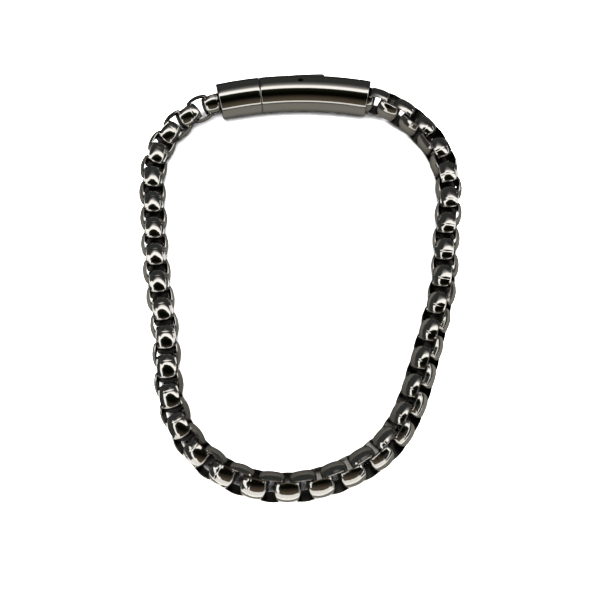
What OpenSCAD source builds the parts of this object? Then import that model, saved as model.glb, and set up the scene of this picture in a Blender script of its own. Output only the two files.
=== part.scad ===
// Steel bracelet: a round box chain, closed by a curved tube clasp with a small push lever.
// It lies flat on z = 0, with the clasp on the +Y side and the wrist hollow round the origin.
// All sizes are in millimetres.

/* [Chain] */
// Outer diameter of the round chain
chain_d = 5; // [4.8:0.1:5.2]
// Loose links between the two end links that are soldered in the clasp
free_links = 69; // [67:2:71]
// Diameter of a link at its two ends, where its barrel narrows
link_end_d = 3.9; // [3.6:0.1:4.2]
// Width of a link at its middle, where its flat sides bulge a little
link_w = 3.4; // [3.3:0.05:3.5]
// Radius of the bulge of a link's flat sides
side_bulge_r = 11; // [9:1:12]
// Thickness of the strip at a link's end walls
end_wall = 0.52; // [0.48:0.01:0.54]
// Play between the end walls of neighbouring links
end_play = 0.74; // [0.7:0.01:0.76]
// Height of a link's opening at its middle, where its inner walls bulge a little
hole_h = 3.85; // [3.8:0.05:3.9]
// Radius of the bulge of a link's inner walls
hole_bulge_r = 12; // [11:1:14]
// Bevel round a link's two ends
link_bevel = 0.2; // [0.15:0.05:0.25]
// Radius of the bulge of a link's two ends, seen from above
end_bulge_r = 5; // [4.5:0.5:8]
// Bevel at the ends of a link's flat sides
side_bevel = 0.2; // [0.15:0.05:0.25]

/* [Clasp] */
// Outer diameter of the clasp's tube
clasp_d = 6.8; // [6.5:0.1:7.1]
// Length of the clasp along its curve, over both sections
clasp_l = 29.4; // [29:0.1:30]
// Radius of the clasp's curve, at the middle of its tube
clasp_bend_r = 66; // [60:1:72]
// Turn of the whole clasp about the vertical, away from square to the Y axis
clasp_turn = 1.35; // [0:0.05:2]
// Length of the short section
plug_l = 8.1; // [7.5:0.1:9]
// Joint between the two sections
section_gap = 0.2; // [0.15:0.05:0.3]
// Bevel round the rims of both sections
rim_bevel = 0.25; // [0.15:0.05:0.35]
// Diameter of the cups that hold the end links
cup_d = 5.4; // [5.2:0.1:5.6]
// Distance of the short section's end link, at its middle, outside the section's end
plug_link_out = 1.2; // [0.8:0.1:1.4]
// Distance of the long section's end link, at its middle, inside the section's end
socket_link_in = 0.8; // [0.4:0.1:1]
// Diameter of the tongue on the short section
tongue_d = 4.2; // [4:0.1:4.4]
// Clearance round the tongue, in its bore
tongue_play = 0.2; // [0.15:0.05:0.3]

/* [Lever] */
// Distance from the joint to the lever's near end, along the clasp's curve
lever_offset = 4.1; // [3.8:0.1:4.6]
// Length of the lever
lever_l = 7.9; // [7.6:0.1:8.2]
// Width of the lever
lever_w = 3; // [2.6:0.1:3.2]
// Clearance between the lever and the sides of its slot
lever_play = 0.15; // [0.1:0.05:0.2]
// Distance from the lever's near end to its pin
pin_offset = 3.7; // [3.5:0.1:3.9]
// Distance of the pin from the tube's middle, on the outer side
pin_rise = 0.65; // [0.5:0.05:0.8]
// Diameter of the pin
pin_d = 1; // [0.8:0.1:1.1]
// Height of the lever's free end above the tube
thumb_rise = 0.5; // [0.3:0.1:0.6]

/* [Hidden] */
$fn = 48;
eps = 0.01;
steel = [0.62, 0.61, 0.59];

// Places that the chain's middle is drawn towards, anticlockwise from the clasp's short section to
// its long section. Columns: x, y, roll of the links about the chain, and how far the links have
// slid along the chain in their play
X = 0;
Y = 1;
ROLL = 2;
SLID = 3;
ROUTE = [
    [-20.5, 32.6, -32, 0.25],
    [-26.0, 27.9, -26, 0.35],
    [-28.6, 20.3, -18, 0.2],
    [-27.4, 11.7, -14, 0.12],
    [-26.7, 3.7, -14, 0.15],
    [-25.4, -4.3, -14, 0.12],
    [-23.4, -12.3, -12, 0],
    [-22.9, -20.1, -5, -0.25],
    [-21.0, -27.8, 6, -0.42],
    [-16.0, -34.3, 17, -0.4],
    [-8.5, -38.1, 25, -0.2],
    [-0.2, -38.7, 32, 0],
    [7.8, -36.4, 38, 0.07],
    [14.9, -32.1, 43, 0.08],
    [19.1, -24.9, 47, 0.03],
    [21.5, -17.3, 54, -0.15],
    [24.1, -9.7, 63, -0.27],
    [26.2, -2.0, 70, -0.37],
    [26.7, 5.9, 75, -0.48],
    [28.3, 13.9, 80, -0.57],
    [27.8, 22.2, 92, -0.5],
    [23.9, 29.2, 104, -0.25],
    [17.8, 33.8, 112, -0.05],
];
// Roll of the links that are soldered in the clasp's short and long sections
PLUG_ROLL = -37;
SOCKET_ROLL = 118;
// Length over which the chain comes down from the clasp's height to the surface
slope_l = 14;
// Steps of the route's curve between two of its points
route_steps = 10;

// Place on the clasp: middle of its tube at a distance along its curve, from the short section's end
clasp_x = -1.3;
clasp_y = 36.3;
clasp_z = clasp_d / 2;
bend_x = clasp_x + clasp_bend_r * sin(clasp_turn);
bend_y = clasp_y - clasp_bend_r * cos(clasp_turn);
function clasp_angle(along) = 90 + clasp_turn + (clasp_l / 2 - along) / clasp_bend_r * 180 / PI;
function clasp_point(along) =
    let (a = clasp_angle(along)) [bend_x + clasp_bend_r * cos(a), bend_y + clasp_bend_r * sin(a)];

// The chain's curve: an even spline drawn towards the route's places, between the two end links
first = concat(clasp_point(-plug_link_out), PLUG_ROLL, 0);
last = concat(clasp_point(clasp_l - socket_link_in), SOCKET_ROLL, 0);
guide = concat(
    [2 * first - ROUTE[0], first],
    ROUTE,
    [last, 2 * last - ROUTE[len(ROUTE) - 1]]
);
function blend(p, q, r, s, t) =
    ((1 - t) ^ 3 * p + (3 * t ^ 3 - 6 * t ^ 2 + 4) * q + (3 * t + 3 * t ^ 2 - 3 * t ^ 3 + 1) * r + t ^ 3 * s) / 6;
spans = len(guide) - 3;
line = [
    for (k = [0:spans - 1], j = [0:route_steps - 1])
        blend(guide[k], guide[k + 1], guide[k + 2], guide[k + 3], j / route_steps),
    last,
];
function flat_gap(p, q) = norm([q[X] - p[X], q[Y] - p[Y]]);
function run(k, total) = k == len(line) ? [] :
    let (here = total + flat_gap(line[k - 1], line[k])) concat([here], run(k + 1, here));
distance = concat([0], run(1, 0));
route_l = distance[len(distance) - 1];
function column(c) = [for (k = [0:len(line) - 1]) [distance[k], line[k][c]]];
by_x = column(X);
by_y = column(Y);
by_roll = column(ROLL);
by_slid = column(SLID);

// Links are spread along the curve, each a little out of its even place where the chain has slid,
// and the first and last are held in the clasp's cups
pitch = route_l / (free_links + 1);
left_links = (free_links + 1) / 2;
link_l = pitch + 2 * end_wall + end_play;
hole_l = link_l - 2 * end_wall;
hole_bevel = 0.15;
function ease(t) = t * t * (3 - 2 * t);
function height(s) =
    let (t = min(1, min(s, route_l - s) / slope_l))
        clasp_z + (chain_d / 2 - clasp_z) * ease(t);
function place(s) = [lookup(s, by_x), lookup(s, by_y), height(s)];

// Arc of a link's barrel, through its middle and its narrower ends
barrel_sag = (chain_d - link_end_d) / 2;
barrel_arc_r = (link_l ^ 2 / 4 + barrel_sag ^ 2) / (2 * barrel_sag);

// The clasp's sections
socket_start = plug_l + section_gap;
bore_d = tongue_d + 2 * tongue_play;
solder = 0.1;
plug_cup = link_l / 2 - plug_link_out - solder;
socket_cup = link_l / 2 + socket_link_in - solder;

// The lever turns on its pin. Its far end is an arc about the pin, so its gap stays even as it moves
pin_along = socket_start + lever_offset + pin_offset;
boss_r = pin_d / 2 + 0.45;
bore_past_pin = boss_r + 0.3;
arm_y = tongue_d / 2 + 0.2;
lever_end_r = norm([lever_l - pin_offset, clasp_d / 2 + thumb_rise - 0.1 - pin_rise]);
slot_floor = 1.5;
slot_w = lever_w + 2 * lever_play;
pin_fit = 0.02;
pin_run = 0.05;
pin_recess = 0.6;
pin_l = 2 * sqrt(clasp_d ^ 2 / 4 - pin_rise ^ 2) - 2 * pin_recess;

// The lever's tooth drops into a groove across the tongue
tooth_x = -pin_offset + 0.2;
tooth_l = 0.8;
tooth_grip = 0.25;
groove_play = [0.25, 0.1];
tongue_l = pin_along - socket_start - boss_r - 0.4;

// One link, its opening along Y and its round outer walls above and below
module link() {
    difference() {
        intersection() {
            rotate([0, 90, 0]) rotate_extrude() barrel_half();
            linear_extrude(chain_d + 1, center = true) link_outline();
        }
        rotate([90, 0, 0]) linear_extrude(link_w + 1, center = true)
            lens(hole_l, hole_h, hole_bulge_r, hole_bevel);
    }
}

// Outline of a link seen from above: a lens whose two ends bulge as well
module link_outline() {
    reach = link_l / 2 - end_bulge_r - 0.02;
    intersection() {
        lens(link_l, link_w, side_bulge_r, side_bevel);
        translate([reach, 0]) circle(end_bulge_r, $fn = 96);
        translate([-reach, 0]) circle(end_bulge_r, $fn = 96);
    }
}

// Half of the barrel's outline, as a profile about the chain's middle
module barrel_half() {
    intersection() {
        translate([chain_d / 2 - barrel_arc_r, 0]) circle(barrel_arc_r, $fn = 96);
        polygon([
            [0, -link_l / 2],
            [link_end_d / 2 - link_bevel, -link_l / 2],
            [link_end_d / 2 + link_bevel, -link_l / 2 + 2 * link_bevel],
            [chain_d, 0],
            [link_end_d / 2 + link_bevel, link_l / 2 - 2 * link_bevel],
            [link_end_d / 2 - link_bevel, link_l / 2],
            [0, link_l / 2],
        ]);
    }
}

// A lens between two arcs, cut to a length, with its corners bevelled
module lens(length, width, arc_r, bevel) {
    corner_y = sqrt(arc_r ^ 2 - length ^ 2 / 4) - arc_r + width / 2;
    cut = width - corner_y + bevel;
    x = length / 2;
    intersection() {
        translate([0, width / 2 - arc_r]) circle(arc_r, $fn = 180);
        translate([0, arc_r - width / 2]) circle(arc_r, $fn = 180);
        polygon([
            [x, width - cut],
            [x - cut, width],
            [cut - x, width],
            [-x, width - cut],
            [-x, cut - width],
            [cut - x, -width],
            [x - cut, -width],
            [x, cut - width],
        ]);
    }
}

// A link at its place in the chain: every other one is turned a quarter turn
module placed_link(i) {
    s = i * pitch + lookup(i * pitch, by_slid);
    ahead = place(min(route_l, s + pitch / 2));
    behind = place(max(0, s - pitch / 2));
    way = ahead - behind;
    climb = atan2(ahead[2] - behind[2], flat_gap(behind, ahead));
    quarter = 90 * (i % 2);
    translate(place(s)) rotate([lookup(s, by_roll) + quarter, -climb, atan2(way[Y], way[X])]) link();
}

module chain_left() color(steel) for (i = [1:left_links]) placed_link(i);

module chain_right() color(steel) for (i = [left_links + 1:free_links]) placed_link(i);

// Turns a piece from the X axis onto the clasp's curve, at a distance along it, its +Y side out
module on_clasp(along)
    translate(concat(clasp_point(along), clasp_z)) rotate([0, 0, clasp_angle(along) - 90]) children();

// Sweeps a profile along the clasp's curve, from the origin towards +X
module bent(length)
    translate([0, -clasp_bend_r, 0])
        rotate([0, 0, 90 - length / clasp_bend_r * 180 / PI])
            rotate_extrude(angle = length / clasp_bend_r * 180 / PI, $fn = 360)
                translate([clasp_bend_r, 0]) children();

module along_clasp(from, to) on_clasp(from) bent(to - from) children();

// One section of the tube, with bevelled rims
module tube_section(from, to)
    difference() {
        along_clasp(from, to) circle(d = clasp_d);
        on_clasp(from) rotate([0, 90, 0]) rim_cut();
        on_clasp(to) rotate([0, -90, 0]) rim_cut();
    }

// The ring that a bevel takes off a section's end
module rim_cut()
    rotate_extrude() polygon([
        [clasp_d / 2 - rim_bevel, 0],
        [clasp_d / 2 - rim_bevel, -1],
        [clasp_d, -1],
        [clasp_d, clasp_d / 2 + rim_bevel],
    ]);

module clasp_plug() color(steel) {
    difference() {
        tube_section(0, plug_l);
        along_clasp(-1, plug_cup) circle(d = cup_d);
    }
    placed_link(0);
    difference() {
        along_clasp(plug_l - 1, plug_l + tongue_l) circle(d = tongue_d);
        on_clasp(pin_along) tongue_groove();
    }
}

module tongue_groove()
    translate([tooth_x - groove_play[X], tongue_d / 2 - tooth_grip - groove_play[Y], -tongue_d])
        cube([tooth_l + 2 * groove_play[X], tongue_d, 2 * tongue_d]);

module clasp_socket() color(steel) {
    difference() {
        tube_section(socket_start, clasp_l);
        along_clasp(clasp_l - socket_cup, clasp_l + 1) circle(d = cup_d);
        along_clasp(socket_start - 1, pin_along + bore_past_pin) circle(d = bore_d);
        on_clasp(pin_along) lever_slot();
        on_clasp(pin_along) pin_shaft(clasp_d + 1, pin_d + 2 * pin_fit);
    }
    placed_link(free_links + 1);
}

// The slot in the tube's outer side: flat at the lever's near end, an arc about the pin at the far
module lever_slot()
    linear_extrude(slot_w, center = true) intersection() {
        translate([0, pin_rise]) circle(lever_end_r + lever_play, $fn = 180);
        translate([-pin_offset - lever_play, slot_floor]) square([2 * lever_l, clasp_d]);
    }

module pin_shaft(length, d) translate([0, pin_rise, 0]) cylinder(h = length, d = d, center = true);

module clasp_lever() color(steel)
    on_clasp(pin_along) intersection() {
        linear_extrude(lever_w, center = true) lever_side();
        lever_crown();
    }

// The lever from the side: its arm, the boss round its pin, and the tooth at its near end
module lever_side()
    difference() {
        union() {
            intersection() {
                translate([0, pin_rise]) circle(lever_end_r, $fn = 180);
                translate([-pin_offset, arm_y]) square([2 * lever_l, clasp_d]);
            }
            translate([-boss_r, pin_rise]) square([2 * boss_r, arm_y + eps - pin_rise]);
            translate([0, pin_rise]) circle(boss_r);
            translate([tooth_x, tongue_d / 2 - tooth_grip]) square([tooth_l, tooth_grip + 0.2 + eps]);
        }
        translate([0, pin_rise]) circle(d = pin_d + 2 * pin_run);
    }

// The lever's outer side: the tube's own surface, tilted out towards the free end
module lever_crown()
    translate([-pin_offset, 0, 0])
        rotate([0, 0, pin_offset / clasp_bend_r * 180 / PI + atan(thumb_rise / lever_l)])
            translate([0, -pin_offset ^ 2 / (2 * clasp_bend_r), 0])
                bent(2 * lever_l) circle(d = clasp_d);

module lever_pin() color(steel) on_clasp(pin_along) pin_shaft(pin_l, pin_d);

chain_left();
chain_right();
clasp_plug();
clasp_socket();
clasp_lever();
lever_pin();
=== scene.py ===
# %% [markdown]
# # Steel bracelet
# A round box chain closed by a curved tube clasp, dressed for its picture. The CAD model gives
# every place and size, so the script starts by loading it as a fixed frame.

# %% Load the frame
import math
import random

import bmesh
import bpy
from mathutils import Matrix, Vector


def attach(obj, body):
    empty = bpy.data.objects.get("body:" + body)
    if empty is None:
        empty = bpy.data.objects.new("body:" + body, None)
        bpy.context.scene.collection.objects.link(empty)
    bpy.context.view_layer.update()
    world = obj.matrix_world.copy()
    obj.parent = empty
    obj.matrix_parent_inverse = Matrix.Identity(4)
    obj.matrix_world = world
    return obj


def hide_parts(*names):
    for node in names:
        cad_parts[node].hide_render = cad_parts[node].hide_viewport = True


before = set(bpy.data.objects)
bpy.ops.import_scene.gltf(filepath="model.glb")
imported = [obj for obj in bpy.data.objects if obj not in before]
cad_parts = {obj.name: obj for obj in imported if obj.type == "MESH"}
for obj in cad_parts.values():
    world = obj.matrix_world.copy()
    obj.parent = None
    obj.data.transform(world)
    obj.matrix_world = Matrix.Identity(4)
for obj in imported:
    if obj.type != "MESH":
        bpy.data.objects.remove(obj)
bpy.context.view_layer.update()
print("CAD nodes:", ", ".join(sorted(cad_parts)))

MM = 0.001
scene = bpy.context.scene

# %% [markdown]
# ## Camera
# The picture looks down on the bracelet from the wearer's side, 18 degrees off the vertical and
# from close by, so the near side of the loop looks larger than the far side. A camera has to stand
# at that same place, because moving it back and zooming in would flatten the loop.

# %% The camera above the loop
PHOTO_PX = 600
FOCAL_PX = 640
SENSOR_MM = 36
CAMERA_PLACE = Vector((-0.034, -41.536, 111.0)) * MM
CAMERA_LEAN = math.radians(18)

camera_data = bpy.data.cameras.new("camera")
camera_data.sensor_width = SENSOR_MM
camera_data.lens = FOCAL_PX / PHOTO_PX * SENSOR_MM
camera_data.clip_start = 0.01
camera = bpy.data.objects.new("camera", camera_data)
camera.location = CAMERA_PLACE
camera.rotation_euler = (CAMERA_LEAN, 0, 0)
scene.collection.objects.link(camera)
scene.camera = camera
scene.view_settings.view_transform = "Standard"
print("Lens:", round(camera_data.lens, 2), "mm")

# %% [markdown]
# ## Tools of the bench
# Every piece starts from a primitive in millimetres and is shaped in edit mode. An operator works
# on whatever is selected, so two helpers do the picking: one leaves a single object active, and
# one selects the points, edges or faces that pass a test of their place or direction.

# %% Pick, edit and modify
def activate(piece):
    bpy.ops.object.select_all(action="DESELECT")
    piece.select_set(True)
    bpy.context.view_layer.objects.active = piece


def primitive(add, **settings):
    """Adds a primitive, and puts its place, turn and size into its mesh."""
    bpy.ops.object.select_all(action="DESELECT")
    add(**settings)
    piece = bpy.context.object
    bpy.ops.object.transform_apply(location=True, rotation=True, scale=True)
    return piece


def edit(piece):
    activate(piece)
    bpy.ops.object.mode_set(mode="EDIT")


def leave():
    bpy.ops.object.mode_set(mode="OBJECT")


def pick(piece, kind, test):
    """Selects the points, edges or faces that pass a test, and counts them."""
    bpy.ops.mesh.select_all(action="DESELECT")
    bpy.ops.mesh.select_mode(type=kind)
    mesh = bmesh.from_edit_mesh(piece.data)
    elements = {"VERT": mesh.verts, "EDGE": mesh.edges, "FACE": mesh.faces}[kind]
    picked = [element for element in elements if test(element)]
    for element in picked:
        element.select_set(True)
    mesh.select_flush_mode()
    bmesh.update_edit_mesh(piece.data)
    return len(picked)


def modify(piece, kind, **settings):
    """Adds a modifier and applies it at once."""
    activate(piece)
    modifier = piece.modifiers.new(kind.lower(), kind)
    for key, value in settings.items():
        setattr(modifier, key, value)
    bpy.ops.object.modifier_apply(modifier=modifier.name)


def triangles(piece):
    return sum(len(face.vertices) - 2 for face in piece.data.polygons)


# %% [markdown]
# ## One link
# A link of this chain is a short strip of steel bent into a ring and soldered, then rolled in a
# round die, so that its two walls are arcs of one barrel, 5 mm across at the middle and 3.9 mm at
# the ends. It could be turned from a cylinder, but a box is closer to the real strip: its two open
# sides are inset and bridged into the opening, and the finer mesh is then pushed onto the arcs.

# %% Sizes of a link
CHAIN_D = 5.0
LINK_END_D = 3.9
LINK_W = 3.4
SIDE_BULGE_R = 11.0
END_WALL = 0.52
END_PLAY = 0.74  # between the end walls of neighbours
HOLE_H = 3.85
HOLE_BULGE_R = 12.0
END_BULGE_R = 5.0
print("A link is", LINK_W, "mm wide, with an opening", HOLE_H, "mm high")


def arc_drop(radius, off):
    """How far an arc has fallen away at a distance from its middle."""
    return radius - math.sqrt(radius * radius - off * off)


# %% [markdown]
# The chain's length over its 70 steps gives the length of a link, so the route comes first. It is
# the same even curve that the CAD model draws towards its places: x, y, the roll of the links
# there, and how far they have slid along the chain in their play. The clasp's own bend is needed
# too, because the route starts and ends inside its cups.

# %% The chain's route
FREE_LINKS = 69
CLASP_D = 6.8
CLASP_L = 29.4
CLASP_BEND_R = 66.0
CLASP_MIDDLE = (-1.3, 36.3)
CLASP_TURN = math.radians(1.35)
PLUG_LINK_OUT = 1.2
SOCKET_LINK_IN = 0.8
PLUG_ROLL = -37
SOCKET_ROLL = 118
SLOPE_L = 14  # over this length the chain climbs to the middle of the clasp
ROUTE_STEPS = 10
ROUTE = [
    (-20.5, 32.6, -32, 0.25), (-26.0, 27.9, -26, 0.35), (-28.6, 20.3, -18, 0.2),
    (-27.4, 11.7, -14, 0.12), (-26.7, 3.7, -14, 0.15), (-25.4, -4.3, -14, 0.12),
    (-23.4, -12.3, -12, 0), (-22.9, -20.1, -5, -0.25), (-21.0, -27.8, 6, -0.42),
    (-16.0, -34.3, 17, -0.4), (-8.5, -38.1, 25, -0.2), (-0.2, -38.7, 32, 0),
    (7.8, -36.4, 38, 0.07), (14.9, -32.1, 43, 0.08), (19.1, -24.9, 47, 0.03),
    (21.5, -17.3, 54, -0.15), (24.1, -9.7, 63, -0.27), (26.2, -2.0, 70, -0.37),
    (26.7, 5.9, 75, -0.48), (28.3, 13.9, 80, -0.57), (27.8, 22.2, 92, -0.5),
    (23.9, 29.2, 104, -0.25), (17.8, 33.8, 112, -0.05),
]
bend_x = CLASP_MIDDLE[0] + CLASP_BEND_R * math.sin(CLASP_TURN)
bend_y = CLASP_MIDDLE[1] - CLASP_BEND_R * math.cos(CLASP_TURN)


def clasp_angle(along):
    """The clasp's direction from the middle of its bend, at a distance along its curve."""
    return math.pi / 2 + CLASP_TURN + (CLASP_L / 2 - along) / CLASP_BEND_R


def clasp_point(along):
    angle = clasp_angle(along)
    return (bend_x + CLASP_BEND_R * math.cos(angle), bend_y + CLASP_BEND_R * math.sin(angle))


def chain_line():
    """An even spline drawn towards the route's places, between the two end links."""
    first = Vector((*clasp_point(-PLUG_LINK_OUT), PLUG_ROLL, 0))
    last = Vector((*clasp_point(CLASP_L - SOCKET_LINK_IN), SOCKET_ROLL, 0))
    places = [Vector(place) for place in ROUTE]
    guide = [2 * first - places[0], first, *places, last, 2 * last - places[-1]]
    line = []
    for p, q, r, s in zip(guide, guide[1:], guide[2:], guide[3:]):
        for step in range(ROUTE_STEPS):
            t = step / ROUTE_STEPS
            line.append(((1 - t) ** 3 * p + (3 * t ** 3 - 6 * t ** 2 + 4) * q
                         + (3 * t + 3 * t ** 2 - 3 * t ** 3 + 1) * r + t ** 3 * s) / 6)
    return line + [last]


line = chain_line()
distance = [0.0]
for here, there in zip(line, line[1:]):
    distance.append(distance[-1] + (there.xy - here.xy).length)
route_l = distance[-1]
pitch = route_l / (FREE_LINKS + 1)
link_l = pitch + 2 * END_WALL + END_PLAY
hole_l = link_l - 2 * END_WALL
print("Route:", round(route_l, 2), "mm, a link every", round(pitch, 3), "mm")

# %% [markdown]
# The box is as long, wide and high as the link. Its two open sides are inset by the strip's
# thickness, and the bridge between the two insets makes the opening. Each direction is then
# subdivided on its own, so the mesh stays a clean grid on all four walls.

# %% A box with an opening
LINK_CUTS = (9, 7, 5)  # along its length, its width and its height


def open_box(cuts):
    link = primitive(bpy.ops.mesh.primitive_cube_add, size=1, scale=(link_l, LINK_W, CHAIN_D))
    edit(link)
    pick(link, "FACE", lambda face: abs(face.normal.y) > 0.9)
    bpy.ops.mesh.inset(thickness=END_WALL, use_individual=True, use_even_offset=True)
    bpy.ops.mesh.bridge_edge_loops()
    for axis, number in enumerate(cuts):
        def along(edge):
            way = edge.verts[1].co - edge.verts[0].co
            return abs(way[axis]) > 0.99 * way.length
        pick(link, "EDGE", along)
        bpy.ops.mesh.subdivide(number_cuts=number, quadcorner="INNERVERT")
    leave()
    return link


link = open_box(LINK_CUTS)
print("Box with an opening:", triangles(link), "triangles")

# %% [markdown]
# Now every point moves onto its arc. How deep a point lies in the wall decides whether it goes to
# the inner arc, the outer barrel or in between. The flat sides bulge by a fifth of a millimetre,
# and the two ends bulge outwards, as the die leaves them.

# %% Onto the barrel
def press_in_die(link):
    half_l, half_hole = link_l / 2, hole_l / 2
    sag = (CHAIN_D - LINK_END_D) / 2
    barrel_r = (half_l ** 2 + sag ** 2) / (2 * sag)
    inner = CHAIN_D / 2 - END_WALL
    for point in link.data.vertices:
        x, y, z = point.co
        end_share = max(0, (abs(x) - half_hole) / END_WALL)
        depth = min(1, max(end_share, (abs(z) - inner) / END_WALL, 0))
        share = z / (inner + depth * END_WALL)
        y *= 1 - arc_drop(SIDE_BULGE_R, x) / (LINK_W / 2)
        outside = CHAIN_D / 2 - arc_drop(barrel_r, x)
        outside = math.sqrt(outside ** 2 - y ** 2)
        inside = HOLE_H / 2 - arc_drop(HOLE_BULGE_R, min(abs(x), half_hole))
        x -= math.copysign(arc_drop(END_BULGE_R, y) * end_share, x)
        point.co = (x, y, share * (depth * outside + (1 - depth) * inside))


press_in_die(link)
print("Link:", [round(size, 2) for size in link.dimensions], "mm")

# %% [markdown]
# Tumbling has rounded every edge of the strip, most of all at the two ends, where a wide soft edge
# catches the light. The ends get their own bevel first, and a small one goes round all the other
# edges. The solder seam is a shallow dent across one wall, off its middle, pressed in by bisecting
# the wall three times and lowering the middle cut.

# %% Round the edges and press the seam
END_ROUND = 0.4
EDGE_ROUND = 0.18
SEAM_X = -0.7
SEAM_HALF_W = 0.16
SEAM_DEEP = 0.032
WALL_Z = 1.0  # higher than this, a face is part of the upper wall
END_EDGE_Z = 1.2
SHARP_TURN = 0.6
LINK_CORNER = math.radians(32)


def round_ends(link):
    """Bevels the edges that run across the link, above and below its two ends."""
    def end_edge(edge):
        low = min(abs(corner.co.z) for corner in edge.verts)
        across = all(abs(face.normal.y) < 0.5 for face in edge.link_faces)
        return low > END_EDGE_Z and across and edge.calc_face_angle(0) > SHARP_TURN
    edit(link)
    print("End edges rounded:", pick(link, "EDGE", end_edge))
    bpy.ops.mesh.bevel(offset=END_ROUND, segments=4, affect="EDGES")
    leave()


def press_seam(link):
    def upper_wall(face):
        middle = face.calc_center_median()
        return middle.z > WALL_Z and abs(middle.x) < hole_l / 2

    def on_seam(point):
        return abs(point.co.x - SEAM_X) < 1e-4 and point.co.z > WALL_Z and point.normal.z > 0.5
    edit(link)
    for x in (SEAM_X - SEAM_HALF_W, SEAM_X, SEAM_X + SEAM_HALF_W):
        pick(link, "FACE", upper_wall)
        bpy.ops.mesh.bisect(plane_co=(x, 0, 0), plane_no=(1, 0, 0))
    pick(link, "VERT", on_seam)
    bpy.ops.transform.translate(value=(0, 0, -SEAM_DEEP))
    leave()


round_ends(link)
modify(link, "BEVEL", width=EDGE_ROUND, segments=3, limit_method="ANGLE",
       angle_limit=LINK_CORNER)
press_seam(link)
print("Finished link:", triangles(link), "triangles")

# %% [markdown]
# ## The chain
# Seventy-one links follow the route, each turned a quarter turn from the one before. An array on a
# curve would give them all the same step, but here the roll changes along the route and the links
# have slid. So each link's place is worked out from its distance along the chain, and its turn is
# made so that the seam faces up.

# %% Places in the chain
def lookup(s, column):
    """One column of the chain's line, at a distance along it."""
    for k in range(1, len(distance)):
        if s <= distance[k]:
            t = (s - distance[k - 1]) / (distance[k] - distance[k - 1])
            return line[k - 1][column] + t * (line[k][column] - line[k - 1][column])
    return line[-1][column]


def chain_place(s):
    t = min(1, min(s, route_l - s) / SLOPE_L)
    ease = t * t * (3 - 2 * t)
    height = CLASP_D / 2 + (CHAIN_D - CLASP_D) / 2 * ease
    return Vector((lookup(s, 0), lookup(s, 1), height))


def link_matrix(i, loose):
    """The place and turn of a link, rolled out of line by some degrees."""
    s = i * pitch + lookup(i * pitch, 3)
    ahead = chain_place(min(route_l, s + pitch / 2))
    behind = chain_place(max(0, s - pitch / 2))
    way = ahead - behind
    climb = math.atan2(way.z, way.xy.length)
    roll = lookup(s, 2) + 90 * (i % 2)
    if math.cos(math.radians(roll)) < 0:
        roll += 180  # the seam faces up
    return (Matrix.Translation(chain_place(s)) @ Matrix.Rotation(math.atan2(way.y, way.x), 4, "Z")
            @ Matrix.Rotation(-climb, 4, "Y") @ Matrix.Rotation(math.radians(roll + loose), 4, "X"))


print("The chain's middle is", round(chain_place(0).z, 2), "mm up at the clasp and",
      round(chain_place(route_l / 2).z, 2), "mm where it lies flat")

# %% [markdown]
# In a real chain each link lies a little differently in its play, which breaks up the mirror
# pictures on it. Every copy gets its own mesh, rolled by a degree or so, and the links of each half
# become one object. The random numbers start from a fixed seed, so each run gives the same chain.

# %% Copy the links
LOOSE_DEG = 1.5
hand = random.Random(7)


def copy_links(name, numbers, loose=LOOSE_DEG):
    """Copies the link to its numbered places in the chain, as one object."""
    piece = bpy.data.objects.new(name, bpy.data.meshes.new(name))
    scene.collection.objects.link(piece)
    gathered = bmesh.new()
    for i in numbers:
        mesh = link.data.copy()
        mesh.transform(link_matrix(i, hand.uniform(-loose, loose)))
        gathered.from_mesh(mesh)
        bpy.data.meshes.remove(mesh)
    gathered.to_mesh(piece.data)
    gathered.free()
    return piece


LEFT_LINKS = (FREE_LINKS + 1) // 2
chain_left = copy_links("chain_left_links", range(1, LEFT_LINKS + 1))
chain_right = copy_links("chain_right_links", range(LEFT_LINKS + 1, FREE_LINKS + 1))
print("Chain:", triangles(chain_left) + triangles(chain_right), "triangles")

# %% [markdown]
# ## The clasp's two sections
# The clasp is a polished tube on a gentle bend. A straight cylinder could be bent with a curve,
# but drawing a disc along the bend, by extruding it and turning it about the bend's middle, keeps
# every ring square to the tube. The same move sinks the cups for the end links and the bore, and
# raises the tongue. First come the places on the bend that all of this is measured from.

# %% Places on the clasp
TOUCH = 0.02  # a point or face this near to a place lies there


def on_clasp(along):
    """The middle of the clasp's tube, at a distance along its curve."""
    return Vector((*clasp_point(along), CLASP_D / 2))


def tube_turn(along):
    return clasp_angle(along) - math.pi / 2


def tube_way(along):
    return Vector((math.cos(tube_turn(along)), math.sin(tube_turn(along)), 0))


def clasp_matrix(along):
    """Moves a body from the origin to a place on the clasp, turned along its curve."""
    return Matrix.Translation(on_clasp(along)) @ Matrix.Rotation(tube_turn(along), 4, "Z")


def at_section(along):
    """Makes the test of whether a face lies square across the clasp at one place."""
    centre, way = on_clasp(along), tube_way(along)

    def test(face):
        middle = face.calc_center_median()
        return abs((middle - centre).dot(way)) < TOUCH and abs(face.normal.dot(way)) > 0.98
    return test


print("The clasp runs from", [round(value, 1) for value in on_clasp(0)], "to",
      [round(value, 1) for value in on_clasp(CLASP_L)])

# %% [markdown]
# A section starts as one disc at its end. Extruding without moving leaves a new ring on the old
# one, and turning that ring about the bend's middle draws the tube out by one short step. An end
# face that is inset first and then drawn along goes into the tube, or out of it as a tongue.

# %% Draw a section along the bend
TUBE_SIDES = 96
RINGS_PER_MM = 1.2
FEWEST_RINGS = 6


def disc_on_clasp(along, diameter):
    disc = primitive(bpy.ops.mesh.primitive_circle_add, vertices=TUBE_SIDES,
                     radius=diameter / 2, fill_type="NGON", rotation=(0, math.pi / 2, 0))
    disc.data.transform(clasp_matrix(along))
    return disc


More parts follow.
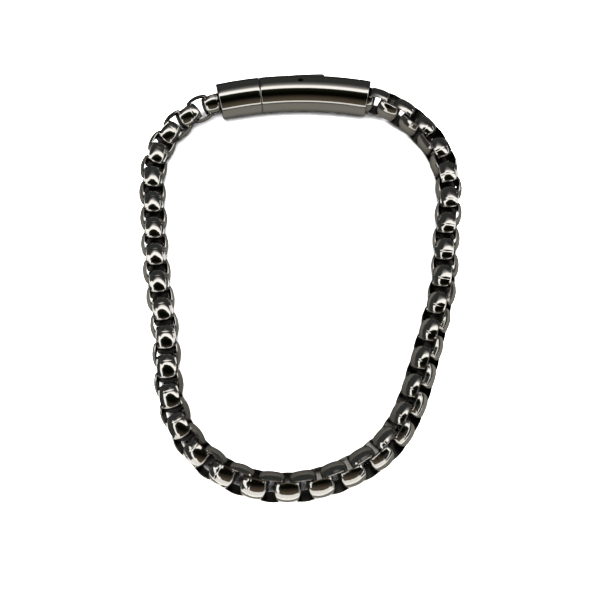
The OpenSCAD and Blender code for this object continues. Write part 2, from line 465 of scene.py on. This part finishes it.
def draw_along(length, steps):
    """Extrudes what is picked along the clasp's bend. Backwards for a negative length."""
    for _ in range(steps):
        bpy.ops.mesh.extrude_region_move(TRANSFORM_OT_translate={"value": (0, 0, 0)})
        bpy.ops.transform.rotate(value=length / steps / CLASP_BEND_R, orient_axis="Z",
                                 center_override=(bend_x, bend_y, 0))


def tube(start, end):
    piece = disc_on_clasp(start, CLASP_D)
    edit(piece)
    bpy.ops.mesh.select_all(action="SELECT")
    draw_along(end - start, max(FEWEST_RINGS, round((end - start) * RINGS_PER_MM)))
    bpy.ops.mesh.select_all(action="SELECT")
    bpy.ops.mesh.normals_make_consistent(inside=False)
    leave()
    return piece


def sink(piece, along, diameter, length, steps=2):
    """Insets a section's end face to a diameter and draws it in, or out, by a length."""
    edit(piece)
    pick(piece, "FACE", at_section(along))
    bpy.ops.mesh.inset(thickness=(CLASP_D - diameter) / 2, use_even_offset=True)
    draw_along(length, steps)
    leave()


# %% [markdown]
# The short section carries the tongue and the long one has the bore that takes it. The CAD model
# leaves a joint of 0.2 mm between the two, so that they don't touch. On the real clasp, pushed
# home, only a hairline shows, so here both sections reach a little further into that joint. The
# tongue stops short of the lever's boss, and the bore goes on past it.

# %% The two sections
PLUG_L = 8.1
SECTION_GAP = 0.2
JOINT_SHUT = 0.085
CUP_D = 5.4
BORE_D = 4.6
TONGUE_D = 4.2
SOLDER = 0.1  # an end link sinks this far into the bottom of its cup
LEVER_OFFSET = 4.1
PIN_OFFSET = 3.7
PIN_RISE = 0.65
PIN_D = 1.0
BOSS_WALL = 0.45
TONGUE_SHORT = 0.4
BORE_PAST = 0.3
SOCKET_START = PLUG_L + SECTION_GAP
PIN_ALONG = SOCKET_START + LEVER_OFFSET + PIN_OFFSET
boss_r = PIN_D / 2 + BOSS_WALL
plug_cup = link_l / 2 - PLUG_LINK_OUT - SOLDER
socket_cup = link_l / 2 + SOCKET_LINK_IN - SOLDER
tongue_l = PIN_ALONG - SOCKET_START - boss_r - TONGUE_SHORT
bore_l = PIN_ALONG + boss_r + BORE_PAST - SOCKET_START

plug_end = PLUG_L + JOINT_SHUT
socket_end = SOCKET_START - JOINT_SHUT
plug = tube(0, plug_end)
sink(plug, 0, CUP_D, plug_cup)
sink(plug, plug_end, TONGUE_D, tongue_l - JOINT_SHUT, steps=6)
socket = tube(socket_end, CLASP_L)
sink(socket, CLASP_L, CUP_D, -socket_cup, steps=3)
sink(socket, socket_end, BORE_D, bore_l + JOINT_SHUT, steps=8)
print("Sections:", [round(size, 2) for size in plug.dimensions], "and",
      [round(size, 2) for size in socket.dimensions], "mm")

# %% [markdown]
# The rims of both sections are softly rounded, which draws the thin bright line round each end of
# the real clasp. Only the circles that lie square across the tube at its ends are picked: the
# outer rims get a wider bevel than the mouths of the cups.

# %% Round the rims
RIM_ROUND = 0.16
MOUTH_ROUND = 0.1


def round_circle(piece, along, diameter, offset):
    centre, way = on_clasp(along), tube_way(along)

    def on_circle(point):
        away = point.co - centre
        return abs(away.dot(way)) < TOUCH and abs(away.length - diameter / 2) < TOUCH
    edit(piece)
    pick(piece, "EDGE", lambda edge: all(on_circle(point) for point in edge.verts))
    bpy.ops.mesh.bevel(offset=offset, segments=3, affect="EDGES")
    leave()


for piece, along, diameter, offset in (
        (plug, 0, CLASP_D, RIM_ROUND), (plug, plug_end, CLASP_D, RIM_ROUND),
        (plug, 0, CUP_D, MOUTH_ROUND),
        (socket, socket_end, CLASP_D, RIM_ROUND), (socket, CLASP_L, CLASP_D, RIM_ROUND),
        (socket, CLASP_L, CUP_D, MOUTH_ROUND)):
    round_circle(piece, along, diameter, offset)
print("Rims rounded:", triangles(plug), "and", triangles(socket), "triangles")

# %% [markdown]
# The long section has a slot in its outer side for the lever, and a cross hole for the lever's
# pin. Both are cut with a shaped body and the Boolean modifier, because their edges run over the
# tube's round side. The slot's far end is an arc about the pin, so the lever keeps an even gap as
# it turns. The tongue has a groove across it, which the lever's tooth drops into. All these bodies
# are shaped about the middle of the clasp's tube, and are then moved along the bend to the pin.

# %% Bodies about the pin
LEVER_L = 7.9
LEVER_W = 3.0
LEVER_PLAY = 0.15
THUMB_RISE = 0.5
END_SHORT = 0.1  # the far end's arc stays inside the raised corner
PIN_PLACE = (0, PIN_RISE, 0)
lever_end_r = math.hypot(LEVER_L - PIN_OFFSET, CLASP_D / 2 + THUMB_RISE - END_SHORT - PIN_RISE)


def rod(radius, depth, sides=32):
    return primitive(bpy.ops.mesh.primitive_cylinder_add, vertices=sides, radius=radius,
                     depth=depth, location=PIN_PLACE)


def trim(body, planes):
    """Cuts away what lies past each plane, and closes the cut."""
    edit(body)
    for place, way in planes:
        bpy.ops.mesh.select_all(action="SELECT")
        bpy.ops.mesh.bisect(plane_co=place, plane_no=way, use_fill=True, clear_outer=True)
    leave()


def place_at_pin(body):
    body.data.transform(clasp_matrix(PIN_ALONG))
    return body


def combine(piece, body, operation):
    """Adds a body to a piece, cuts it away, or keeps what both share."""
    modify(piece, "BOOLEAN", operation=operation, object=body, solver="EXACT")
    bpy.data.objects.remove(body)


print("The lever's far end is", round(lever_end_r, 2), "mm from its pin")

# %% Cut the slot, the pin's hole and the tongue's groove
SLOT_FLOOR = 1.5
PIN_FIT = 0.02
TOOTH_X = -PIN_OFFSET + 0.2
TOOTH_L = 0.8
TOOTH_GRIP = 0.25
GROOVE_PLAY = (0.25, 0.1)
GROOVE_H = 1.0


def slot_body():
    body = rod(lever_end_r + LEVER_PLAY, LEVER_W + 2 * LEVER_PLAY, sides=128)
    trim(body, (((-PIN_OFFSET - LEVER_PLAY, 0, 0), (-1, 0, 0)), ((0, SLOT_FLOOR, 0), (0, -1, 0))))
    return place_at_pin(body)


def groove_body():
    size = Vector((TOOTH_L + 2 * GROOVE_PLAY[0], GROOVE_H, 2 * TONGUE_D))
    corner = Vector((TOOTH_X - GROOVE_PLAY[0], TONGUE_D / 2 - TOOTH_GRIP - GROOVE_PLAY[1],
                     -TONGUE_D))
    return place_at_pin(primitive(bpy.ops.mesh.primitive_cube_add, size=1, scale=size,
                                  location=corner + size / 2))


combine(socket, slot_body(), "DIFFERENCE")
combine(socket, place_at_pin(rod(PIN_D / 2 + PIN_FIT, CLASP_D + 1)), "DIFFERENCE")
combine(plug, groove_body(), "DIFFERENCE")
print("Slot, hole and groove cut:", triangles(socket), "and", triangles(plug), "triangles")

# %% [markdown]
# The first and last links are soldered in the clasp's cups, so each is part of its section. They
# are copied like the others, without any looseness, and joined to the tube.

# %% Join the end links
def solder_in(piece, i):
    end_link = copy_links("end_link", [i], loose=0)
    activate(piece)
    end_link.select_set(True)
    bpy.ops.object.join()


solder_in(plug, 0)
solder_in(socket, FREE_LINKS + 1)
plug.name = "clasp_plug_section"
socket.name = "clasp_socket_section"
bpy.data.objects.remove(link)
print("End links soldered in:", triangles(plug), "and", triangles(socket), "triangles")

# %% [markdown]
# ## The lever
# The lever is a small arm that fills the slot in the long section. Its outer side carries on the
# tube's own round surface, tilted a little so that a thumb finds its far end. It starts as a disc
# about the pin, cut to an arm. A boss, a stem and the tooth are joined on, and the common part
# with a tilted tube gives its round outer side.

# %% Shape the lever
CORNER = math.radians(40)  # a sharper turn between two faces is a real corner
LEVER_ROUND = 0.1
ARM_GAP = 0.2
PIN_RUN = 0.05
OVERLAP = 0.1  # bodies that are joined reach this far into each other
CROWN_BEFORE = 0.6
CROWN_PAST = 2
arm_y = TONGUE_D / 2 + ARM_GAP


def block(x, y, size_x, size_y):
    middle = (x + size_x / 2, y + size_y / 2, 0)
    return primitive(bpy.ops.mesh.primitive_cube_add, size=1, location=middle,
                     scale=(size_x, size_y, LEVER_W))


def crown_body():
    """The tilted tube that gives the lever its round outer side."""
    near = PIN_ALONG - PIN_OFFSET
    body = tube(near - CROWN_BEFORE, near + LEVER_L + CROWN_PAST)
    edit(body)
    bpy.ops.mesh.select_all(action="SELECT")
    bpy.ops.transform.rotate(value=-math.atan(THUMB_RISE / LEVER_L), orient_axis="Z",
                             center_override=on_clasp(near))
    leave()
    return body


lever = rod(lever_end_r, LEVER_W, sides=128)
trim(lever, (((-PIN_OFFSET, 0, 0), (-1, 0, 0)), ((0, arm_y, 0), (0, -1, 0))))
boss = rod(boss_r, LEVER_W, sides=48)
stem = block(-boss_r, PIN_RISE, 2 * boss_r, arm_y + OVERLAP - PIN_RISE)
tooth = block(TOOTH_X, TONGUE_D / 2 - TOOTH_GRIP, TOOTH_L, TOOTH_GRIP + ARM_GAP + OVERLAP)
for body in (boss, stem, tooth):
    combine(lever, body, "UNION")
place_at_pin(lever)
combine(lever, crown_body(), "INTERSECT")
combine(lever, place_at_pin(rod(PIN_D / 2 + PIN_RUN, CLASP_D)), "DIFFERENCE")
modify(lever, "BEVEL", width=LEVER_ROUND, segments=2, limit_method="ANGLE",
       angle_limit=CORNER)
lever.name = "push_lever"
print("Lever:", [round(size, 2) for size in lever.dimensions], "mm")

# %% [markdown]
# The pin is a short turned rod. Its ends are pressed in below the tube's surface and slightly domed
# by the press, so each end is inset and raised before its rim is rounded.

# %% The lever's pin
PIN_RECESS = 0.6
PIN_DOME = 0.05
PIN_DOME_IN = 0.2
PIN_ROUND = 0.05
pin_l = 2 * math.sqrt(CLASP_D ** 2 / 4 - PIN_RISE ** 2) - 2 * PIN_RECESS
rod_l = pin_l - 2 * PIN_DOME

pin = rod(PIN_D / 2, rod_l)
edit(pin)
pick(pin, "FACE", lambda face: abs(face.normal.z) > 0.9)
bpy.ops.mesh.inset(thickness=PIN_DOME_IN)
bpy.ops.transform.resize(value=(1, 1, pin_l / rod_l), center_override=PIN_PLACE)
leave()
modify(pin, "BEVEL", width=PIN_ROUND, segments=2, limit_method="ANGLE",
       angle_limit=CORNER)
place_at_pin(pin)
pin.name = "lever_cross_pin"
print("Pin:", round(pin.dimensions.z, 2), "mm long")

# %% [markdown]
# Every piece was modelled in millimetres, and Blender works in metres. The shading is smooth over
# the rounded edges and stays crisp only where two faces meet at a real corner. Each piece then
# takes the place of its CAD node, and moves with that node's body.

# %% Scale, smooth and mount
PIECES = (
    # piece, CAD node, body, finish
    (chain_left, "chain_left", "bracelet", "chain_steel"),
    (chain_right, "chain_right", "bracelet", "chain_steel"),
    (plug, "clasp_plug", "bracelet", "clasp_steel"),
    (socket, "clasp_socket", "bracelet", "clasp_steel"),
    (lever, "clasp_lever", "lever", "clasp_steel"),
    (pin, "lever_pin", "bracelet", "pin_steel"),
)

for piece, node, body, finish in PIECES:
    piece.data.transform(Matrix.Scale(MM, 4))
    activate(piece)
    bpy.ops.object.shade_smooth_by_angle(angle=CORNER)
    modify(piece, "WEIGHTED_NORMAL", keep_sharp=True, weight=60)
    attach(piece, body)
    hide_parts(node)
    print(piece.name, "has", triangles(piece), "triangles")

# %% [markdown]
# ## Shader maths
# A material is a small graph of nodes. It could be wired node by node, but written as sums it stays
# readable: a Signal wraps one output, and an expression on signals adds the Math nodes for it.

# %% Signals
class Signal:
    """An output of a node. Arithmetic on it, with numbers or other signals, adds Math nodes."""

    def __init__(self, finish, socket):
        self.finish = finish
        self.socket = socket

    def sum(self, operation, first, second):
        return self.finish.node("Math", {"operation": operation}, {0: first, 1: second})

    def __add__(self, other):
        return self.sum("ADD", self, other)

    def __radd__(self, other):
        return self.sum("ADD", other, self)

    def __sub__(self, other):
        return self.sum("SUBTRACT", self, other)

    def __rsub__(self, other):
        return self.sum("SUBTRACT", other, self)

    def __mul__(self, other):
        return self.sum("MULTIPLY", self, other)

    def __rmul__(self, other):
        return self.sum("MULTIPLY", other, self)

    def __pow__(self, other):
        return self.sum("POWER", self, other)


# %% [markdown]
# A Finish is one material. All nodes but the Math ones come from a single method that takes their
# type, their settings, such as a ramp's stops, and the values or links of their sockets. Patterns
# read the place on the object itself, so they stay put when a piece moves.

# %% Finishes
class Finish:
    """A procedural material, built node by node."""

    def __init__(self, name):
        self.material = bpy.data.materials.new(name)
        self.material.use_nodes = True
        self.tree = self.material.node_tree
        self.shader = self.tree.nodes["Principled BSDF"]

    def plug_in(self, socket, value):
        if isinstance(value, Signal):
            self.tree.links.new(value.socket, socket)
        else:
            socket.default_value = value

    def node(self, kind, settings=None, sockets=None, output=0):
        node = self.tree.nodes.new("ShaderNode" + kind)
        for key, value in (settings or {}).items():
            if key == "stops":
                ramp = node.color_ramp.elements
                while len(ramp) < len(value):
                    ramp.new(1.0)
                for stop, (place, shade) in zip(ramp, value):
                    stop.position = place
                    stop.color = (shade, shade, shade, 1)
            else:
                setattr(node, key, value)
        for key, value in (sockets or {}).items():
            self.plug_in(node.inputs[key], value)
        return Signal(self, node.outputs[output])

    def mix(self, share, first, second):
        """Mixes two colours by a share."""
        return self.node("Mix", {"data_type": "RGBA"}, {0: share, 6: first, 7: second}, output=2)

    def place(self, scale=(1, 1, 1), turn=(0, 0, 0)):
        """The place on the object, in units that the scale gives, per metre."""
        here = self.node("TexCoord", output=3)
        return self.node("Mapping", {}, {"Vector": here, "Scale": scale, "Rotation": turn})

    def noise(self, scale, place, detail=2.0):
        return self.node("TexNoise", {}, {"Vector": place, "Scale": scale, "Detail": detail})

    def bump(self, height, strength, deep, **under):
        """A relief of a depth, on its own or over the one under it."""
        return self.node("Bump", {}, {"Strength": strength, "Distance": deep, "Height": height,
                                      **under})

    def set(self, **values):
        """Sets sockets of the shader by their names, with _ for a space."""
        for key, value in values.items():
            self.plug_in(self.shader.inputs[key.replace("_", " ")], value)


# %% [markdown]
# ## Polished steel
# The bracelet is stainless steel that has been tumbled and buffed to a mirror. It is nearly black or
# white in the picture, because it shows the room. On the real thing a faint smear of fingers dulls
# the gloss in clouds, fine scratches from wear cross the high places, and the links have knocked
# faint dents into each other. The deep corners, where the links hide each other, get painted shade:
# their colour is darkened nearly to black and their gloss is dulled. All this could be painted as an
# image, but noise needs no unwrapping and is as fine on the smallest rim as on the clasp's long side.

# %% Mirror steel
STEEL_TONE = (0.62, 0.61, 0.585, 1)
STEEL_WARM = (0.585, 0.565, 0.525, 1)
WORN_TONE = (0.75, 0.74, 0.72, 1)
# Painted shade for the deep corners: the near-black colour painted there, and how far round a point
# the walls that close it in are sought
PAINTED_SHADE_TONE = (0.03, 0.029, 0.027, 1)
SHADE_REACH = 2.4 * MM
WORN_FROM = 0.60
WORN_TO = 0.72
WORN_SHARE = 0.10
WORN_DULL = 0.05
RECESS_DULL = 0.12
DENT_DEEP = 0.05 * MM
SCRATCH_DEEP = 0.02 * MM

# How many features of each pattern there are to a metre
CLOUDS = 260
DENTS = 950
FINE_GRAIN = 1900
SCRATCHES = 5200
SCRATCHES_BACK = 4300


def mirror_steel(name, gloss=0.055, smear=0.035, scratch=0.05, dents=0.0, grain=(1, 1, 1),
                 shade_strength=0.85, tones=(STEEL_TONE, STEEL_WARM)):
    steel = Finish(name)
    place = steel.place()
    clouds = steel.noise(CLOUDS, place, detail=3.0)
    fine = steel.noise(FINE_GRAIN, place)
    lines = steel.noise(SCRATCHES, steel.place(scale=grain, turn=(0, 0, 0.35)), detail=3.0)
    lines_back = steel.noise(SCRATCHES_BACK, steel.place(scale=grain, turn=(0, 0, -0.6)),
                             detail=3.0)
    worn = steel.node("ValToRGB", {"stops": ((WORN_FROM, 0), (WORN_TO, 1))}, {0: lines})
    # Painted shade: where little open air is round a point, in the deep corners between links, the
    # colour is darkened towards near black and the gloss is dulled
    open_air = steel.node("AmbientOcclusion", {"samples": 6}, {"Distance": SHADE_REACH}, output=1)
    recess_shade = (1 - open_air ** 1.5) * shade_strength
    tone = steel.mix(clouds, *tones)
    tone = steel.mix(worn * WORN_SHARE, tone, WORN_TONE)
    tone = steel.mix(recess_shade, tone, PAINTED_SHADE_TONE)
    knocked = steel.bump(steel.noise(DENTS, place, detail=1.0), dents, DENT_DEEP)
    relief = lines * 0.6 + lines_back * 0.4 + fine * 0.5
    steel.set(Base_Color=tone, Metallic=1.0,
              Roughness=gloss + smear * clouds + WORN_DULL * worn + RECESS_DULL * recess_shade,
              Normal=steel.bump(relief, scratch, SCRATCH_DEEP, Normal=knocked))
    return steel.material


chain_steel = mirror_steel("tumbled_mirror_steel", dents=0.5)
clasp_steel = mirror_steel("buffed_mirror_steel", gloss=0.035, smear=0.02, scratch=0.04,
                           grain=(0.05, 1, 1))
pin_steel = mirror_steel("turned_pin_steel", gloss=0.22, smear=0.10, scratch=0.15, shade_strength=0.9,
                         tones=((0.34, 0.335, 0.325, 1), (0.26, 0.255, 0.245, 1)))

STEELS = {"chain_steel": chain_steel, "clasp_steel": clasp_steel, "pin_steel": pin_steel}
for piece, node, body, finish in PIECES:
    piece.data.materials.clear()
    piece.data.materials.append(STEELS[finish])
print("Finishes:", ", ".join(steel.name for steel in STEELS.values()))

# %% [markdown]
# ## The studio
# Polished steel is lit by what it mirrors. A picture of a room could be wrapped round the scene,
# but white cards are easier to move, as in a photographer's studio. A card here is a grid whose
# points are put down in rows. All but one glow by themselves, each point may have its own share of
# the glow, and only mirrors see them: the camera, the floor and the shadows don't.

# %% A card
WHITE = (1.0, 0.985, 0.96, 1)
BLACK = (0, 0, 0, 1)


def glowing_paint(name, colour, glow, shared):
    finish = Finish(name)
    if shared:
        colour = finish.mix(finish.node("Attribute", {"attribute_name": "lit"}), BLACK, colour)
    light = finish.node("Emission", {}, {"Color": colour, "Strength": glow})
    out = finish.tree.nodes["Material Output"]
    finish.tree.links.new(light.socket, out.inputs["Surface"])
    finish.tree.nodes.remove(finish.shader)
    return finish.material


def card(name, rows, colour=WHITE, glow=1.0, shares=None, smooth=False, material=None):
    """A card through rows of points, in millimetres, that only mirrors see."""
    piece = primitive(bpy.ops.mesh.primitive_grid_add, size=1, x_subdivisions=len(rows[0]) - 1,
                      y_subdivisions=len(rows) - 1)
    for vertex, point in zip(piece.data.vertices, [point for row in rows for point in row]):
        vertex.co = Vector(point) * MM
    if shares:
        lit = piece.data.attributes.new("lit", "FLOAT", "POINT")
        for value, share in zip(lit.data, [share for row in shares for share in row]):
            value.value = share
    if smooth:
        modify(piece, "SUBSURF", levels=2, render_levels=2, boundary_smooth="PRESERVE_CORNERS")
    piece.name = name
    piece.data.materials.append(material or glowing_paint(name, colour, glow, bool(shares)))
    piece.visible_camera = False
    piece.visible_diffuse = False
    piece.visible_shadow = False


def flat_cards(cards):
    for name, glow, low_row, high_row in cards:
        card(name, (low_row, high_row), glow=glow)


# %% [markdown]
# On the left and the right the links mirror a bright band on each wall. Above and beyond the clasp
# is a strip of white ceiling, which gives the clasp and the links their long bright line. Beyond
# its far edge the strip fades away, soonest at its two ends.

# %% Side walls and ceiling
flat_cards((
    ("left_wall", 1.6, ((-200, -250, 160), (-200, 50, 160)), ((-200, -250, 255), (-200, 50, 255))),
    ("right_wall", 1.4, ((250, -250, 74), (250, 200, 74)), ((250, -250, 100), (250, 200, 100))),
))

STRIP_NEAR = ((-200, -30, 255), (-110, 5, 220), (-45, 31, 185), (10, 37, 180), (45, 34, 183),
              (78, 31, 185), (160, 0, 180), (250, -40, 110))
STRIP_FAR = ((-200, 22, 255), (-130, 42, 220), (-78, 66, 190), (-10, 86, 185), (45, 79, 185),
             (72, 98, 185), (190, 72, 150), (250, 32, 100))
FADE = ((24, 0.31), (55, 0.14), (92, 0.06), (150, 0.03))  # how far beyond, and the share there
FADE_ALONG = (0.3, 0.3, 0.4, 1, 1, 0.4, 0.3, 0.3)
strip = [STRIP_NEAR, STRIP_FAR]
strip += [[(x, y + beyond, z) for x, y, z in STRIP_FAR] for beyond, share in FADE]
strip_shares = [[1.0] * len(STRIP_NEAR)] * 2
strip_shares += [[share * along for along in FADE_ALONG] for beyond, share in FADE]
card("ceiling_strip", strip, glow=1.6, shares=strip_shares, smooth=True)
print("Ceiling strip:", len(strip), "rows of", len(STRIP_NEAR), "points")

# %% [markdown]
# The dark of the room is a nearly black card round the lens, in the camera's own plane. A flap
# below it hides the bright table from the tops of the links. It is brown at its foot, like the
# wooden furniture that such a room has, and nearly black next to the lens.

# %% The dark round the lens
LENS_LOW = -18
FLAP_MIDDLE = -60
FLAP_Y = -67
LENS_EDGE = ((-86, 16), (-66, 48), (-40, 60), (0, 67), (37, 66), (167, 48), (235, 16))
FLAP_TOP = (-60, -44, -25, 0, 32, 70, 105)
FLAP_LOW = ((-30, 30), (-22, 23), (-12, 20), (0, 20), (14, 20), (28, 21), (40, 27))


def by_lens(x, up):
    """A place in the plane of the lens: to the right of it and up."""
    return CAMERA_PLACE / MM + Vector((x, up * math.cos(CAMERA_LEAN), up * math.sin(CAMERA_LEAN)))


def row_shares(*shares):
    return [[share] * len(LENS_EDGE) for share in shares]


lens_bottom = [by_lens(x, LENS_LOW) for x in FLAP_TOP]
lens_middle = [by_lens((x + low) / 2, (up + LENS_LOW) / 2)
               for (x, up), low in zip(LENS_EDGE, FLAP_TOP)]
card("dark_round_lens", [lens_bottom, lens_middle, [by_lens(x, up) for x, up in LENS_EDGE]],
     (0.9, 1, 0.45, 1), glow=0.014, shares=row_shares(0.2, 0.2, 1))
card("dark_flap", [[(x, FLAP_Y, z) for x, z in FLAP_LOW],
                   [by_lens(x, FLAP_MIDDLE) for x in FLAP_TOP], lens_bottom],
     (1, 0.8, 0.56, 1), glow=0.13, shares=row_shares(1, 0.5, 0.1))
print("The flap's foot is", min(z for x, z in FLAP_LOW), "mm above the table")

# %% [markdown]
# The near side of the room is its brightest: a white table that runs up to a white wall, and a
# window on either side of it. The clasp's near side and the near ends of the links mirror them.

# %% The bright front
flat_cards((
    ("table_front", 1.5, ((-200, -200, 0.1), (200, -200, 0.1)), ((-200, -51, 0.1), (200, -51, 0.1))),
    ("front_wall", 1.2, ((-200, -200, 110), (200, -200, 110)), ((-200, -200, 0), (200, -200, 0))),
    ("window_front_left", 1.4, ((-200, -250, 110), (-60, -200, 110)),
     ((-200, -250, 250), (-75, -200, 250))),
    ("window_front_right", 1.4, ((170, -200, 90), (250, -250, 90)),
     ((200, -200, 200), (250, -250, 200))),
))

# %% [markdown]
# What the steel mirrors from below is a table in shade: darkest beyond the clasp, grey inside the
# loop, and lightest outside it on the near side. It is a matt card a hair above the floor, lit by
# the lamps like any surface, and its points carry how bright the table is there.

# %% The table in shade
TABLE_TONE = (0.047, 0.045, 0.0405, 1)
TABLE_LIFT = 0.05
TABLE_X = (
    # x, how much of the brightness beside the loop's middle counts there
    (-2000, 1), (-26, 1), (-16, 0), (14, 0), (24, 1), (2000, 1),
)
TABLE_Y = (
    # y, brightness in the loop's middle, brightness beside it
    (-2000, 1.2, 1.2), (-43, 1.2, 1.2), (-37, 0.42, 1.2), (-20, 0.5, 1.35), (0, 0.8, 1.2),
    (12, 0.9, 0.8), (22, 1, 0.6), (40, 1, 0.5), (46, 0.12, 0.12), (2000, 0.12, 0.12),
)
matt = Finish("matt_table")
matt.set(Base_Color=matt.mix(matt.node("Attribute", {"attribute_name": "lit"}), BLACK, TABLE_TONE),
         Roughness=1.0, Specular_IOR_Level=0.0)
card("table_in_shade", [[(x, y, TABLE_LIFT) for x, side in TABLE_X] for y, middle, beside in TABLE_Y],
     shares=[[middle + (beside - middle) * side for x, side in TABLE_X]
             for y, middle, beside in TABLE_Y], material=matt.material)

# %% [markdown]
# The floor that the camera sees is plain and pale. It would shine up through each narrow gap between
# the links, so shade is painted into its colour: it turns dark where hardly any open sky is left over
# it.

# %% The floor
FLOOR_SIDE = 4
FLOOR_PALE = 0.86
SKY_REACH = 5 * MM
SKY_SHUT = 0.32
SKY_OPEN = 0.41

floor = primitive(bpy.ops.mesh.primitive_plane_add, size=FLOOR_SIDE)
floor.name = "floor"
pale = Finish("pale_floor")
open_sky = pale.node("AmbientOcclusion", {"samples": 8}, {"Distance": SKY_REACH}, output=1)
# Painted shade: the floor's colour goes to black where the links and the clasp close off the sky over
# it
lit_floor = pale.node("ValToRGB", {"stops": ((SKY_SHUT, 0.0), (SKY_OPEN, FLOOR_PALE))},
                      {0: open_sky})
pale.set(Base_Color=lit_floor, Roughness=0.9)
floor.data.materials.append(pale.material)
print("Floor:", FLOOR_SIDE, "m wide")

# %% [markdown]
# Two big soft lamps light the floor and the table evenly, one above and one in front. The steel
# doesn't mirror them, or each link would show two discs. The rest of the room is a dim grey with
# a touch of green.

# %% Lamps and room
LAMPS = (
    # x, y, z and width in metres, power in watts
    (0.0, 0.1, 1.2, 1.6, 96.0),
    (0.0, -0.9, 0.9, 1.0, 32.0),
)
ROOM_TONE = (0.90, 1.0, 0.94, 1)
ROOM_GLOW = 0.048

for number, (x, y, z, width, power) in enumerate(LAMPS):
    lamp_data = bpy.data.lights.new(f"soft_lamp_{number + 1}", "AREA")
    lamp_data.shape = "DISK"
    lamp_data.size = width
    lamp_data.energy = power
    lamp = bpy.data.objects.new(lamp_data.name, lamp_data)
    lamp.location = (x, y, z)
    lamp.rotation_euler = (-lamp.location).to_track_quat("-Z", "Y").to_euler()
    lamp.visible_glossy = False
    scene.collection.objects.link(lamp)

world = bpy.data.worlds.new("dim_room")
scene.world = world
world.use_nodes = True
room = world.node_tree.nodes["Background"].inputs
room["Color"].default_value = ROOM_TONE
room["Strength"].default_value = ROOM_GLOW
print("Studio:", len(LAMPS), "lamps")
